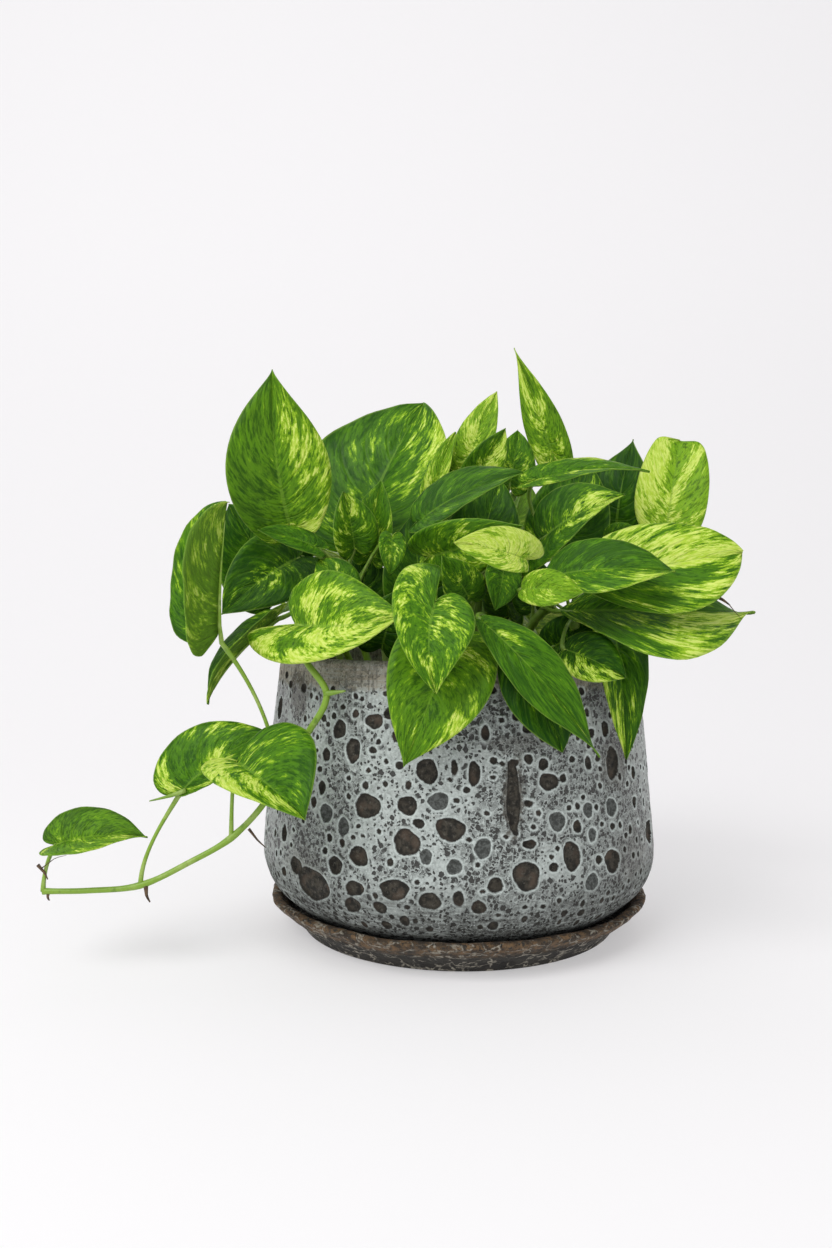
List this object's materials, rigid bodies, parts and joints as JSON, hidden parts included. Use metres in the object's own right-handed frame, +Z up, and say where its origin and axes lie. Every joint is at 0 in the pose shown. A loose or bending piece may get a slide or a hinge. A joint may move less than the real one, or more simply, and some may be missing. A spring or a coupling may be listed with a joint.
{
  "type": "potted golden pothos",
  "caption": "Bushy golden pothos with marbled heart-shaped leaves and a trailing stem, in a cratered pale blue-grey stoneware pot on a rough dark saucer.",
  "frame": {"origin": "middle of the saucer's underside, on the pot's axis", "axes": "+Z up along the pot's axis, +X to the right seen from the front, +Y to the back; the trailing stem reaches towards -X"},
  "size_m": [0.4113, 0.3074, 0.3852],
  "materials": {
    "saucer_clay": "rough unglazed clay with rust patches on its rim",
    "glaze": "matte pale blue-grey crater glaze over dark brown clay",
    "soil": "loose, matte",
    "leaf": "waxy satin green marbled with yellow-green"
  },
  "bodies": {
    "root": {"saucer": "saucer_clay", "pot": "glaze", "soil": "soil", "stem_left": "leaf", "stem_left_low": "leaf", "stem_trailing": "leaf", "stem_centre": "leaf", "stem_front": "leaf", "stem_right_low": "leaf", "stem_right": "leaf", "stem_top": "leaf", "stem_right_back": "leaf", "stem_middle": "leaf", "stem_back_1": "leaf", "stem_back_2": "leaf", "stem_back_3": "leaf", "stem_back_4": "leaf", "stem_back_5": "leaf"}
  },
  "joints": []
}
